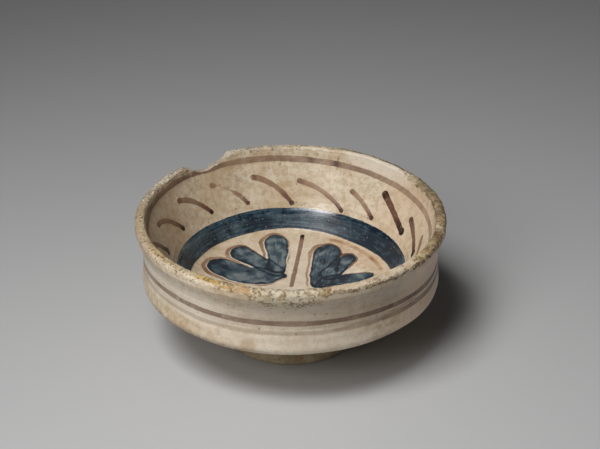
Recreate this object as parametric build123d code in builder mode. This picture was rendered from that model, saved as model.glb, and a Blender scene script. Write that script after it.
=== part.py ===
from build123d import *
import os
from math import atan2, cos, degrees, hypot, radians, sin

# Small tin-glazed earthenware bowl on a ring foot, painted in brown and in thick blue.
# Millimetres. The origin is the centre of the resting face, +Z is up and +Y is the far side, with the chipped rim.

# Overall size
bowl_height = 61.5
lip_radius = 70.0

# Foot ring, made as a coil and luted under the base
foot_radius = 32.0
foot_height = 7.0
foot_width = 7.0
foot_taper = 0.6
foot_edge_round = 1.2

# Shallow hollow turned in the base, inside the foot ring
base_hollow_radius = 20.0
base_hollow_depth = 2.5
base_hollow_round = 2.0

# Outside of the bowl: a low cone, a rounded shoulder and a slightly waisted wall
shoulder_radius = 67.8
shoulder_height = 29.4
shoulder_round = 4.0
wall_hollow = 0.9

# Thick rounded lip, with the neck under it: depths below the rim, and how far the lip stands out
lip_thickness = 4.6
lip_depth = 4.9
lip_overhang = 2.7
neck_depth = 11.0
neck_round = 9.0
lip_outer_round = 2.2
lip_low_round = 1.5
lip_inner_round = 1.3

# Inside of the bowl: a dished floor, a straight sloping wall and a steeper collar under the lip
floor_height = 21.8
floor_dish_radius = 290.0
floor_edge_radius = 46.7
floor_corner_round = 7.0
collar_depth = 6.3
collar_step = 1.4
collar_round = 12.0

# Coats on the clay: white glaze, which stops above the foot and is worn off the crest of the lip, and two colours
glaze_thickness = 0.5
bare_crest = 2.0
bare_cone = 1.5
brown_thickness = 0.2
blue_thickness = 0.5
paint_gap = 0.1

# Bite broken out of the rim: place round the rim, and its edge as distance to the left and drop below the rim
bite_azimuth = 127.0
bite_reach = 12.0
bite_edge = [(16.0, 0.0), (9.0, 3.2), (5.5, 5.0), (1.0, 6.6), (-4.0, 5.0), (-9.0, 4.2), (-12.5, 1.4), (-16.0, 0.0)]

# Brown line under the lip, drawn freehand, so that it climbs on the left and sinks on the right
rim_line_depth = 6.1
rim_line_width = 2.7
rim_line_rise = 2.5

# Two brown lines round the outside, above the shoulder, which climb towards the front
lower_line_height = 7.2
lower_line_width = 1.6
lower_line_rise = 2.7
line_spacing = 3.7
line_spread = 1.0
upper_line_width = 2.4

# Thick blue band round the floor
band_rise = 1.0
band_width = 8.4

# Slanting strokes on the inner wall, in the frieze between the band and the rim line
# Each has the azimuth of its head, the share of the frieze that head and tail stand at, its sweep, bend and weight
# A bend of 0 falls evenly, 1 sets off level and falls faster and faster, and below 0 falls fastest at the head
stroke_head_width = 2.4
stroke_tail_width = 1.9
stroke_bead_radius = 1.2
strokes = [
    (195.0, 0.83, 0.26, 14.5, 0.9, 1.0),
    (172.0, 0.71, 0.20, 16.8, 0.95, 1.0),
    (149.2, 0.72, 0.17, 15.8, 0.7, 1.0),
    (128.5, 0.73, 0.13, 16.0, 0.65, 0.9),
    (107.8, 0.71, 0.03, 18.0, 0.65, 1.0),
    (86.3, 0.60, 0.00, 23.2, 0.6, 0.9),
    (60.0, 0.58, 0.07, 15.0, 0.2, 0.9),
    (42.4, 0.83, 0.25, 20.7, -0.35, 1.2),
    (19.7, 0.72, 0.29, 21.2, -0.3, 1.0),
    (2.0, 0.80, 0.20, 20.0, 0.0, 0.9),
    (-22.0, 0.84, 0.13, 20.0, 0.5, 1.0),
    (-46.0, 0.84, 0.14, 19.0, 0.6, 1.0),
    (-69.0, 0.78, 0.14, 20.0, 0.6, 1.0),
    (-93.0, 0.78, 0.13, 18.0, 0.7, 1.0),
    (-117.0, 0.70, 0.12, 20.0, 0.7, 1.0),
    (-141.0, 0.71, 0.13, 19.0, 0.8, 1.0),
]

# Leaves on the floor, drawn on a floor of radius 1: each is a fan of ovals, from root to tip, with a width
left_lobes = [
    ((-0.05, 0.22), (-0.60, 0.17), 0.26),
    ((-0.20, 0.15), (-0.84, 0.36), 0.33),
    ((-0.10, 0.26), (-0.585, 0.665), 0.25),
    ((-0.13, 0.25), (-0.15, 0.925), 0.25),
]
right_lobes = [
    ((0.29, -0.04), (0.385, 0.76), 0.30),
    ((0.32, 0.12), (0.625, 0.535), 0.20),
    ((0.25, 0.03), (0.82, 0.145), 0.235),
]

# The front pair of leaves is the back pair turned over this line of that floor, and drawn smaller
front_line = -0.13
front_share = 0.74

# Brown line round each leaf, drawn before the blue and a little to its left
outline_width = 1.3
outline_shift = 0.9

# Straight strokes from the middle of the floor that part the leaves
divider_azimuth = 82.7
divider_width = 2.0
divider_edge_gap = 3.2
front_divider_start = 6.0

# Pale stroke on the floor that follows the band on the right
band_stroke_gap = 3.7
band_stroke_width = 1.2
band_stroke_start = 15.0
band_stroke_end = 64.0

# Worked out from the sizes above
foot_top_radius = foot_radius - foot_taper
lip_inner_radius = lip_radius - lip_thickness
neck_radius = lip_radius - lip_overhang
neck_height = bowl_height - neck_depth
collar_radius = lip_inner_radius - collar_step
collar_height = bowl_height - collar_depth
floor_edge_height = floor_height + floor_edge_radius**2 / (2 * floor_dish_radius)
wall_lean = (collar_radius - floor_edge_radius) / (collar_height - floor_edge_height)
plan_share = wall_lean / hypot(1, wall_lean)
band_top = floor_edge_height + band_rise + band_width
rim_line_height = bowl_height - rim_line_depth
divider_end = floor_edge_radius - divider_edge_gap
band_stroke_radius = floor_edge_radius - band_stroke_gap
clear_height = 2 * bowl_height
clear_radius = 2 * lip_radius
half_plane = Plane.XZ


def on_plan(azimuth, radius):
    return (radius * cos(radians(azimuth)), radius * sin(radians(azimuth)))


def keep_heights(low, top):
    with Locations((clear_radius / 2, (low + top) / 2)):
        Rectangle(clear_radius, top - low, mode=Mode.INTERSECT)


def both_corners(section, radius, height):
    # The corner of a whole section at this place on the right, and its twin on the left.
    return [section.vertices().sort_by_distance((side * radius, height))[0] for side in (1, -1)]


def hollow_section(inset=0.0):
    # Half section of the space inside the bowl, smaller than the glazed surface by the inset.
    with BuildSketch(half_plane) as section:
        with BuildLine():
            floor = ThreePointArc(
                (-floor_edge_radius, floor_edge_height),
                (0, floor_height),
                (floor_edge_radius, floor_edge_height),
            )
            right_side = Polyline(
                floor @ 1,
                (collar_radius, collar_height),
                (lip_inner_radius, bowl_height),
                (lip_inner_radius, clear_height),
                (0, clear_height),
            )
            mirror(right_side, about=Plane.YZ)
        make_face()
        fillet(both_corners(section, floor_edge_radius, floor_edge_height), floor_corner_round)
        fillet(both_corners(section, collar_radius, collar_height), collar_round)
        if inset:
            offset(amount=-inset)
        keep_heights(0, clear_height)
    return section.sketch_local


def outside_section(inset=0.0):
    # Half section of all that lies within the outer surface of the bowl, smaller by the inset.
    lip_low = bowl_height - lip_depth
    with BuildSketch(half_plane) as section:
        with BuildLine():
            base = Polyline(
                (0, foot_height),
                (foot_top_radius, foot_height),
                (shoulder_radius, shoulder_height),
            )
            wall = SagittaArc(base @ 1, (neck_radius, neck_height), wall_hollow)
            lip = Polyline(
                wall @ 1,
                (lip_radius, lip_low),
                (lip_radius, bowl_height),
                (0, bowl_height),
            )
            mirror([base, wall, lip], about=Plane.YZ)
        make_face()
        fillet(both_corners(section, shoulder_radius, shoulder_height), shoulder_round)
        fillet(both_corners(section, neck_radius, neck_height), neck_round)
        fillet(both_corners(section, lip_radius, lip_low), lip_low_round)
        fillet(both_corners(section, lip_radius, bowl_height), lip_outer_round)
        if inset:
            offset(amount=-inset)
        keep_heights(0, clear_height)
    return section.sketch_local


# Bite broken out of the rim, drawn on a plane that faces outwards there
rim_plane = Plane(
    origin=(*on_plan(bite_azimuth, lip_inner_radius), bowl_height),
    x_dir=(*on_plan(bite_azimuth + 90, 1), 0),
    z_dir=(*on_plan(bite_azimuth, 1), 0),
)
with BuildSketch(rim_plane) as bite:
    with BuildLine():
        edge = Polyline(*[(along, -drop) for along, drop in bite_edge])
        Polyline(edge @ 1, edge @ 1 + (0, clear_height), edge @ 0 + (0, clear_height), edge @ 0)
    make_face()

# Foot ring
with BuildPart() as foot_ring:
    with BuildSketch(half_plane):
        with BuildLine():
            Polyline(
                (foot_radius, 0),
                (foot_top_radius, foot_height),
                (foot_radius - foot_width - foot_taper, foot_height),
                (foot_radius - foot_width, 0),
                close=True,
            )
        make_face()
    revolve(axis=Axis.Z)
    resting_edges = foot_ring.edges().group_by(Axis.Z)[0]
    fillet(resting_edges, foot_edge_round)

# White glaze on the inside and on the outside, each stopping at the worn crest of the lip
with BuildPart() as inner_glaze:
    with BuildSketch(half_plane) as inner_glaze_section:
        add(hollow_section(-glaze_thickness))
        add(hollow_section(), mode=Mode.SUBTRACT)
        keep_heights(0, bowl_height - bare_crest)
    revolve(axis=Axis.Z)
    extrude(bite.sketch, amount=bite_reach, both=True, mode=Mode.SUBTRACT)

with BuildPart() as outer_glaze:
    with BuildSketch(half_plane) as outer_glaze_section:
        add(outside_section())
        add(outside_section(glaze_thickness), mode=Mode.SUBTRACT)
        keep_heights(foot_height + bare_cone, bowl_height - bare_crest)
    revolve(axis=Axis.Z)
    extrude(bite.sketch, amount=bite_reach, both=True, mode=Mode.SUBTRACT)

# Clay body, which the two coats of glaze lie flush in
with BuildPart() as clay_body:
    with BuildSketch(half_plane) as clay_section:
        add(outside_section())
        add(hollow_section(), mode=Mode.SUBTRACT)
        lip_corner = clay_section.vertices().sort_by_distance((lip_inner_radius, bowl_height))[0]
        fillet(lip_corner, lip_inner_round)
        add(inner_glaze_section.sketch_local, mode=Mode.SUBTRACT)
        add(outer_glaze_section.sketch_local, mode=Mode.SUBTRACT)
        with Locations((0, foot_height)):
            RectangleRounded(
                2 * base_hollow_radius, 2 * base_hollow_depth, base_hollow_round, mode=Mode.SUBTRACT
            )
    revolve(axis=Axis.Z)
    extrude(bite.sketch, amount=bite_reach, both=True, mode=Mode.SUBTRACT)

pieces = {
    "clay_body": clay_body.part,
    "foot_ring": foot_ring.part,
    "inner_glaze": inner_glaze.part,
    "outer_glaze": outer_glaze.part,
}

# Whole coats of each colour, brown and blue inside and brown outside, which every painted mark is cut from
coat_faces = {
    "brown_inside": (hollow_section(), hollow_section(brown_thickness)),
    "blue_inside": (hollow_section(), hollow_section(blue_thickness)),
    "brown_outside": (outside_section(-brown_thickness), outside_section()),
}
coats = {}
for place, (whole, core) in coat_faces.items():
    with BuildPart() as coat:
        with BuildSketch(half_plane):
            add(whole)
            add(core, mode=Mode.SUBTRACT)
            keep_heights(foot_height + bare_cone, bowl_height - bare_crest)
        revolve(axis=Axis.Z)
        extrude(bite.sketch, amount=bite_reach, both=True, mode=Mode.SUBTRACT)
    coats[place] = coat.part


def painted_ring(place, radius, height, width, rise=0.0, high_side=0.0):
    # The part of a coat between two level or tilted planes. The ring stands higher by the rise on its high side.
    lean = on_plan(high_side, -rise / radius)
    with BuildPart() as ring:
        add(coats[place])
        with BuildSketch(Plane(origin=(0, 0, height), z_dir=(*lean, 1))):
            Circle(clear_radius)
        extrude(amount=width / 2, both=True, mode=Mode.INTERSECT)
    return ring.part


def painted(place, outline):
    # The part of a coat that lies under an outline drawn on the plan of the bowl.
    with BuildPart() as mark:
        add(coats[place])
        with BuildSketch():
            add(outline)
        extrude(amount=clear_height, mode=Mode.INTERSECT)
    return mark.part


def stroke_outline(azimuth, head, tail, sweep, bend, weight):
    # A brush stroke of even width that falls to the right and ends in a bead of colour.
    left_rise = rim_line_rise * cos(radians(azimuth))
    frieze_low = band_top + stroke_bead_radius + paint_gap
    frieze_top = rim_line_height - left_rise - (rim_line_width + stroke_head_width) / 2 - paint_gap

    def wall_radius(share):
        level = head + (tail - head) * ((1 - bend) * share + bend * share**2)
        height = frieze_low + level * (frieze_top - frieze_low)
        return floor_edge_radius + wall_lean * (height - floor_edge_height)

    def beside(share, ahead, above):
        # A point on the plan beside the stroke's path, set off along the path and square to it on the wall.
        radius = wall_radius(share)
        fall = (tail - head) * (1 - bend + 2 * bend * share) * (frieze_top - frieze_low)
        slant = atan2(fall * wall_lean / plan_share, radians(sweep) * radius)
        right = ahead * cos(slant) - above * sin(slant)
        up = ahead * sin(slant) + above * cos(slant)
        return on_plan(azimuth - sweep * share - degrees(right / radius), radius + plan_share * up)

    def half_width(share):
        return weight * (stroke_head_width + (stroke_tail_width - stroke_head_width) * share) / 2

    bead = weight * stroke_bead_radius
    stations = (0, 0.35, 0.7, 1)
    with BuildSketch() as outline:
        with BuildLine():
            upper = Spline(*[beside(share, 0, half_width(share)) for share in stations])
            lower = Spline(*[beside(share, 0, -half_width(share)) for share in stations])
            ThreePointArc(upper @ 0, beside(0, -half_width(0), 0), lower @ 0)
            Line(upper @ 1, lower @ 1)
        make_face()
        with Locations(beside(1, 0, 0)):
            Ellipse(plan_share * bead, bead, rotation=azimuth - sweep)
    return outline.sketch_local


def leaf_outline(lobes, margin=0.0):
    # A fan of lobes, each an oval from its root to its tip, larger all round by the margin.
    with BuildSketch() as outline:
        for root, tip, width in lobes:
            run = (Vector(*tip) - Vector(*root)) * floor_edge_radius
            with Locations((Vector(*tip) + Vector(*root)) * (floor_edge_radius / 2)):
                Ellipse(
                    run.length / 2 + margin,
                    width * floor_edge_radius / 2 + margin,
                    rotation=degrees(atan2(run.Y, run.X)),
                )
    return outline.sketch_local


def leaf_line(lobes):
    # The brown line that shows round a leaf, broader on its left.
    with BuildSketch() as outline:
        with Locations((-outline_shift, 0)):
            add(leaf_outline(lobes, outline_width))
        add(leaf_outline(lobes), mode=Mode.SUBTRACT)
    return outline.sketch_local


def turned_over(lobes):
    # The same leaf on the front half of the floor.
    def turned(point):
        return (front_share * point[0], front_line - front_share * (point[1] - front_line))

    return [(turned(root), turned(tip), front_share * width) for root, tip, width in lobes]


def divider_outline(azimuth, start):
    with BuildSketch() as outline:
        with Locations(on_plan(azimuth, (start + divider_end) / 2)):
            SlotOverall(divider_end - start, divider_width, rotation=azimuth)
    return outline.sketch_local


# Rings round the bowl: the line under the lip, the blue band and the two lines outside
upper_line_height = lower_line_height + line_spacing
upper_line_rise = lower_line_rise + line_spread
pieces["inner_rim_line"] = painted_ring(
    "brown_inside", lip_inner_radius, rim_line_height, rim_line_width, rim_line_rise, high_side=180
)
pieces["blue_band"] = painted_ring("blue_inside", floor_edge_radius, band_top - band_width / 2, band_width)
outer_lines = {
    "outer_upper_line": (upper_line_height, upper_line_width, upper_line_rise),
    "outer_lower_line": (lower_line_height, lower_line_width, lower_line_rise),
}
for name, (height, width, rise) in outer_lines.items():
    pieces[name] = painted_ring(
        "brown_outside", shoulder_radius, shoulder_height + height, width, rise, high_side=-90
    )

# Slanting strokes on the inner wall
for number, stroke in enumerate(strokes, start=1):
    pieces[f"slanting_stroke_{number:02d}"] = painted("brown_inside", stroke_outline(*stroke))

# Leaves with their lines
leaves = {
    "back_left": left_lobes,
    "back_right": right_lobes,
    "front_left": turned_over(left_lobes),
    "front_right": turned_over(right_lobes),
}
for place, lobes in leaves.items():
    pieces[f"{place}_leaf"] = painted("blue_inside", leaf_outline(lobes))
    pieces[f"{place}_leaf_line"] = painted("brown_inside", leaf_line(lobes))

# Dividers, and the stroke along the band
pieces["back_divider"] = painted("brown_inside", divider_outline(divider_azimuth, 0))
pieces["front_divider"] = painted("brown_inside", divider_outline(-divider_azimuth, front_divider_start))
with BuildSketch() as band_stroke:
    with BuildLine():
        CenterArc((0, 0), band_stroke_radius, band_stroke_start, band_stroke_end - band_stroke_start)
    trace(line_width=band_stroke_width)
pieces["band_stroke"] = painted("brown_inside", band_stroke.sketch_local)

os.makedirs("parts", exist_ok=True)
for name, piece in pieces.items():
    piece.label = name
    export_step(piece, f"parts/{name}.step")
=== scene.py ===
# %% [markdown]
# A small tin-glazed bowl, thrown in coarse clay, dipped in white glaze and painted in brown and in thick
# blue. The frame gives every piece at its real size, in metres, with the foot standing on the floor at
# height 0. It comes first, because each piece made here takes the place of one piece of the frame.

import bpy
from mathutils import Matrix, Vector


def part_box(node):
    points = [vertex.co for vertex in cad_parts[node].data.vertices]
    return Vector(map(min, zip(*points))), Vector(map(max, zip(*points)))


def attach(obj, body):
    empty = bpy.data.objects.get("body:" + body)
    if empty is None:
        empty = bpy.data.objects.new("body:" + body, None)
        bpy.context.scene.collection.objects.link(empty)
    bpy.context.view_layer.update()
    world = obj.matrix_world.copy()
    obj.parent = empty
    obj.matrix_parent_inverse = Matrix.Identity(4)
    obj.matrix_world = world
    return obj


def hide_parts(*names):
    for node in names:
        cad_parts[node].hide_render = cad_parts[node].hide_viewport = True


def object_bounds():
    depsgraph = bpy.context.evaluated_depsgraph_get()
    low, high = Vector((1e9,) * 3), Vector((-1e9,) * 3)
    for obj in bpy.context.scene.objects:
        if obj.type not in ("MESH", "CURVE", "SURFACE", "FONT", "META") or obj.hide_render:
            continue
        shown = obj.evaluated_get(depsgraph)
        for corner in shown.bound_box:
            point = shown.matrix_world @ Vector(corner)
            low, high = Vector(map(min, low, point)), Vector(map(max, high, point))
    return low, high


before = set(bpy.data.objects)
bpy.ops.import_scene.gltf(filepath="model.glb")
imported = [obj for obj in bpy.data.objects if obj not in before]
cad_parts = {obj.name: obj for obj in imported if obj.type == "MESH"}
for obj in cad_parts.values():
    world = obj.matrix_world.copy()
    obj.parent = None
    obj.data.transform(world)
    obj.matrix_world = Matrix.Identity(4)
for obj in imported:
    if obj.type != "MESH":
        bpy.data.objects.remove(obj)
cad_low, cad_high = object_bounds()
print("frame nodes:", len(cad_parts), "box:", tuple(cad_low), tuple(cad_high))

# %% [markdown]
# A few short tools are used by every step. Operators act on whatever is selected, so one of them clears
# the selection and leaves a single piece in it. Others read and move the points of a mesh, which is
# quicker to write with arrays than point by point.

# %% Short tools for selecting, applying and measuring
from contextlib import contextmanager
from math import acos, cos, pi, radians, sin, tan, tau

import bpy
import numpy as np
from mathutils import Vector, noise

mm = 0.001


def only(piece):
    bpy.ops.object.select_all(action="DESELECT")
    piece.select_set(True)
    bpy.context.view_layer.objects.active = piece


def named(name):
    piece = bpy.context.object
    piece.name = piece.data.name = name
    return piece


@contextmanager
def edit_mode(piece):
    only(piece)
    bpy.ops.object.mode_set(mode="EDIT")
    bpy.ops.mesh.select_all(action="SELECT")
    yield
    bpy.ops.object.mode_set(mode="OBJECT")


def apply_modifier(piece, kind, **settings):
    only(piece)
    bpy.ops.object.modifier_add(type=kind)
    modifier = piece.modifiers[-1]
    for name, value in settings.items():
        setattr(modifier, name, value)
    bpy.ops.object.modifier_apply(modifier=modifier.name)


def points_of(piece):
    flat = np.empty(len(piece.data.vertices) * 3)
    piece.data.vertices.foreach_get("co", flat)
    return flat.reshape(-1, 3)


def move_points(piece, points):
    piece.data.vertices.foreach_set("co", points.ravel())
    piece.data.update()


def note(piece, name, values):
    attribute = piece.data.attributes.new(name, "FLOAT", "POINT")
    attribute.data.foreach_set("value", np.asarray(values, dtype=np.float32))


def weigh(piece, name, weights):
    group = piece.vertex_groups.new(name=name)
    for index in np.flatnonzero(weights > 0):
        group.add([int(index)], float(weights[index]), "REPLACE")


def smooth_step(values, low, high):
    share = np.clip((values - low) / (high - low), 0, 1)
    return share * share * (3 - 2 * share)


def unevenness(points, size):
    return np.array([noise.noise(Vector(point) / size) for point in points])


def finish_piece(piece, node, slot, *materials):
    for material in materials:
        piece.data.materials.append(material)
    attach(piece, "root")
    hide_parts(node)
    triangles = sum(len(face.vertices) - 2 for face in piece.data.polygons)
    print(f"{piece.name}: {len(piece.data.vertices)} points, {triangles} triangles")


# %% [markdown]
# The bowl was turned on a wheel, so one section drives nearly everything. These are its sizes: the foot,
# the shoulder, the slightly hollow wall above it, the neck under the lip, the lip itself, the collar
# inside and the dished floor. The lip stays a little inside the box, to leave room for the unevenness of
# the hand.

# %% Sizes of the section
lip_room = 0.25 * mm
bowl_height = cad_high.z
lip_radius = cad_high.x - lip_room
foot_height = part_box("foot_ring")[1].z
base_radius = 31.4 * mm
floor_height = 21.8 * mm
glaze_thickness = 0.5 * mm
bare_crest = 2.0 * mm
bare_cone = 1.5 * mm
shoulder = (67.8 * mm, 29.4 * mm)
neck = (67.3 * mm, bowl_height - 11.0 * mm)
wall_hollow = 0.9 * mm
lip_low = bowl_height - 4.9 * mm
lip_inner_radius = lip_radius - 4.35 * mm
collar = (64.0 * mm, bowl_height - 6.3 * mm)
floor_edge_radius = 46.7 * mm
floor_dish_radius = 290 * mm
floor_edge_height = floor_height + floor_edge_radius**2 / (2 * floor_dish_radius)
print("bowl", round(bowl_height / mm, 1), "mm high, lip", round(2 * lip_radius / mm, 1), "mm across")

# %% [markdown]
# The section starts at the foot, climbs the outside, goes over the lip and comes down to the middle of
# the floor. Each corner carries the radius of its rounding, which is drawn as an arc of points. The
# hollow wall and the dished floor are a few points on a curve.

# %% Section of the glazed surface


def rounded(corners, arc_points=14):
    line = [np.array(corners[0][:2])]
    for before, corner, after in zip(corners, corners[1:], corners[2:]):
        place = np.array(corner[:2])
        if corner[2] == 0:
            line.append(place)
            continue
        to_before = np.array(before[:2]) - place
        to_after = np.array(after[:2]) - place
        to_before /= np.linalg.norm(to_before)
        to_after /= np.linalg.norm(to_after)
        half_angle = acos(np.clip(to_before @ to_after, -1, 1)) / 2
        reach = corner[2] / tan(half_angle)
        middle = to_before + to_after
        centre = place + middle / np.linalg.norm(middle) * corner[2] / sin(half_angle)
        start = place + to_before * reach - centre
        end = place + to_after * reach - centre
        turn = pi - 2 * half_angle
        for share in np.linspace(0, 1, arc_points):
            line.append(centre + (start * sin((1 - share) * turn) + end * sin(share * turn)) / sin(turn))
    line.append(np.array(corners[-1][:2]))
    return np.array(line)


def lengths_along(line):
    return np.concatenate([[0], np.cumsum(np.linalg.norm(np.diff(line, axis=0), axis=1))])


def wall_points(count=9):
    for share in np.linspace(0, 1, count + 1)[1:-1]:
        hollow = 4 * wall_hollow * share * (1 - share)
        radius = shoulder[0] + (neck[0] - shoulder[0]) * share - hollow
        yield (radius, shoulder[1] + (neck[1] - shoulder[1]) * share, 0)


def floor_points(count=11):
    for radius in np.linspace(floor_edge_radius, 0, count + 1)[1:]:
        yield (radius, floor_height + radius**2 / (2 * floor_dish_radius), 0)


surface = rounded([
    (base_radius, foot_height, 0),
    (*shoulder, 4.0 * mm),
    *wall_points(),
    (*neck, 9.0 * mm),
    (lip_radius, lip_low, 1.5 * mm),
    (lip_radius, bowl_height, 2.2 * mm),
    (lip_inner_radius, bowl_height, 1.3 * mm),
    (*collar, 12.0 * mm),
    (floor_edge_radius, floor_edge_height, 7.0 * mm),
    *floor_points(),
])
lengths = lengths_along(surface)
print("section:", len(surface), "points,", round(lengths[-1] / mm, 1), "mm long")

# %% [markdown]
# Pieces of the bowl are stretches of that section. A stretch is found by where it starts and ends, and is
# given points at an even step, finer near the lip, where wear will be cut into it. Faint throwing ridges
# are drawn into the section itself, so that turning it makes true rings.

# %% Stretches of the section
fine_step = 0.36 * mm
plain_step = 1.1 * mm
lip_zone = bowl_height - 5.5 * mm
ridge_depth = 0.05 * mm
ridge_pitch = 5.3 * mm
fine_ridge_pitch = 3.4 * mm
crest_position = lengths[np.argmax(surface[:, 1])]


def at_length(position):
    return np.array([np.interp(position, lengths, surface[:, axis]) for axis in (0, 1)])


def position_of(height, inside):
    side = lengths > crest_position + fine_step if inside else lengths < crest_position
    order = np.argsort(surface[side, 1])
    return float(np.interp(height, surface[side, 1][order], lengths[side][order]))


def ridge(point, inside):
    radius, height = point
    fade = smooth_step(height, lip_zone, neck[1] - 6 * mm) * smooth_step(height, 20 * mm, 34 * mm)
    wave = sin(height * tau / ridge_pitch + 2 * inside) + 0.7 * sin(height * tau / fine_ridge_pitch)
    return np.array([radius - ridge_depth * fade * wave, height])


def stretch(start, end, step=plain_step):
    positions = [start]
    while positions[-1] < end:
        height = at_length(positions[-1])[1]
        positions.append(positions[-1] + (fine_step if height > lip_zone else step))
    positions[-1] = end
    if len(positions) > 2 and positions[-1] - positions[-2] < fine_step / 2:
        positions.pop(-2)
    return np.array([ridge(at_length(p), p > crest_position) for p in positions])


def sunk(line, depth):
    along = np.gradient(line, axis=0)
    along /= np.linalg.norm(along, axis=1)[:, None]
    return line + depth * np.column_stack([-along[:, 1], along[:, 0]])


cone_position = position_of(foot_height + bare_cone, inside=False)
outer_edge = position_of(bowl_height - bare_crest, inside=False)
inner_edge = position_of(bowl_height - bare_crest, inside=True)
outer_line = stretch(cone_position, outer_edge)
crest_line = stretch(outer_edge, inner_edge)
inner_line = stretch(inner_edge, lengths[-1])
inner_line[-1][0] = 0
print("rows of points:", len(outer_line), "outside,", len(crest_line), "crest,", len(inner_line), "inside")

# %% [markdown]
# To turn a section as a potter does, one vertex is drawn out along it with extrude, and the line is swept
# round the axis by a screw with no climb. That leaves a doubled seam, so doubles are merged, and then the
# normals are made to point outwards.

# %% Turning tool
turn_steps = 840
merge_gap = 0.001 * mm


def turned(name, line, steps=turn_steps):
    bpy.ops.mesh.primitive_plane_add(size=mm)
    piece = named(name)
    with edit_mode(piece):
        bpy.ops.mesh.merge(type="CENTER")
        bpy.ops.transform.translate(value=(line[0][0], 0, line[0][1]))
        for before, after in zip(line, line[1:]):
            step = (after[0] - before[0], 0, after[1] - before[1])
            bpy.ops.mesh.extrude_region_move(TRANSFORM_OT_translate={"value": step})
    apply_modifier(piece, "SCREW", axis="Z", angle=tau, steps=steps, render_steps=steps, screw_offset=0.0)
    with edit_mode(piece):
        bpy.ops.mesh.remove_doubles(threshold=merge_gap)
        bpy.ops.mesh.normals_make_consistent(inside=False)
    return piece


print("a full turn takes", turn_steps, "steps of", round(360 / turn_steps, 2), "degrees")

# %% [markdown]
# The clay is hidden under glaze nearly everywhere. It shows at the worn crest of the lip, in the bite, on
# a narrow strip above the foot and underneath. Its section runs from the middle of the base round to the
# middle of the floor, and steps in by the thickness of the glaze where a coat lies on it. Hidden sides
# need only every third point.

# %% Clay body and the two coats of glaze
seat_depth = glaze_thickness + 0.05 * mm
base_hollow_radius = 20 * mm
base_hollow_roof = foot_height + 2.5 * mm
base_round = 2.0 * mm
hidden_stride = 3
base_line = rounded([
    (0, base_hollow_roof, 0),
    (base_hollow_radius, base_hollow_roof, base_round),
    (base_hollow_radius, foot_height, 0),
    (surface[0][0], foot_height, 0),
    (*at_length(cone_position), 0),
])
outer_seat = sunk(outer_line, seat_depth)
inner_seat = sunk(inner_line, seat_depth)
inner_seat[-1][0] = 0
clay = turned("thrown_clay", np.vstack([
    base_line,
    outer_seat[::hidden_stride],
    outer_seat[-1:],
    crest_line,
    inner_seat[:-1:hidden_stride],
    inner_seat[-1:],
]))
outer_back = sunk(outer_line, glaze_thickness)[::-hidden_stride]
outer_glaze = turned("glaze_outside", np.vstack([outer_line, outer_back, outer_line[:1]]))
inner_back = sunk(inner_line, glaze_thickness)
inner_back[-1][0] = 0
inner_glaze = turned(
    "glaze_inside", np.vstack([inner_back[-1:], inner_back[-2::-hidden_stride], inner_line])
)
for piece in (clay, outer_glaze, inner_glaze):
    print(piece.name, len(piece.data.polygons), "faces")

# %% [markdown]
# The foot is a coil of clay, pressed on under the base and trimmed. Its section is a slightly tapered
# block with soft lower edges, given points at an even step besides its corners.

# %% Foot ring
foot_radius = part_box("foot_ring")[1].x
foot_width = 7 * mm
foot_taper = 0.6 * mm
foot_round = 1.2 * mm
foot_step = 0.6 * mm
foot_line = rounded([
    (foot_radius - foot_taper, foot_height, 0),
    (foot_radius - foot_width - foot_taper, foot_height, 0),
    (foot_radius - foot_width, 0, foot_round),
    (foot_radius, 0, foot_round),
    (foot_radius - foot_taper, foot_height, 0),
])
foot_lengths = lengths_along(foot_line)
foot_even = np.arange(0, foot_lengths[-1], foot_step)
foot_even = np.unique(np.concatenate([foot_even, foot_lengths]))
foot_line = np.column_stack([np.interp(foot_even, foot_lengths, foot_line[:, axis]) for axis in (0, 1)])
foot = turned("coil_foot", foot_line, steps=360)
print(foot.name, len(foot.data.polygons), "faces")

# %% [markdown]
# Hand-made clay is never quite round. One cloud of colour noise, read as a push in X, Y and Z, bends
# every piece by up to a third of a millimetre. It depends only on place, so pieces that touch stay in
# touch. The lip is then worn in the same way: a finer noise that only lowers it, and one that crumbles it
# sideways.

# %% Hand-thrown unevenness and the worn lip


def cloud(name, size, depth, colour):
    texture = bpy.data.textures.new(name, "CLOUDS")
    texture.noise_scale = size
    texture.noise_depth = depth
    texture.cloud_type = "COLOR" if colour else "GRAYSCALE"
    return texture


hand_cloud = cloud("hand_cloud", 38 * mm, 1, colour=True)
chip_cloud = cloud("chip_cloud", 6.0 * mm, 4, colour=False)
crumble_cloud = cloud("crumble_cloud", 1.5 * mm, 2, colour=True)
hand_push = 0.7 * mm
chip_depth = 1.2 * mm
crumble_push = 0.50 * mm
wear_start = bowl_height - 4.0 * mm
wear_full = bowl_height - 1.0 * mm


def push(piece, texture, direction, mid_level, strength, group=""):
    apply_modifier(
        piece, "DISPLACE", texture=texture, texture_coords="LOCAL", direction=direction,
        mid_level=mid_level, strength=strength, vertex_group=group,
    )


def throw_by_hand(piece):
    weigh(piece, "above_foot", smooth_step(points_of(piece)[:, 2], 2 * mm, 12 * mm))
    push(piece, hand_cloud, "RGB_TO_XYZ", 0.5, hand_push, "above_foot")


def wear_lip(piece):
    weigh(piece, "lip", smooth_step(points_of(piece)[:, 2], wear_start, wear_full))
    push(piece, chip_cloud, "Z", 1.0, chip_depth, "lip")
    push(piece, crumble_cloud, "RGB_TO_XYZ", 0.5, crumble_push, "lip")


for piece in (clay, outer_glaze, inner_glaze):
    throw_by_hand(piece)
    wear_lip(piece)
    print(piece.name, "highest point", round(points_of(piece)[:, 2].max() / mm, 2), "mm")
throw_by_hand(foot)

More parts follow.
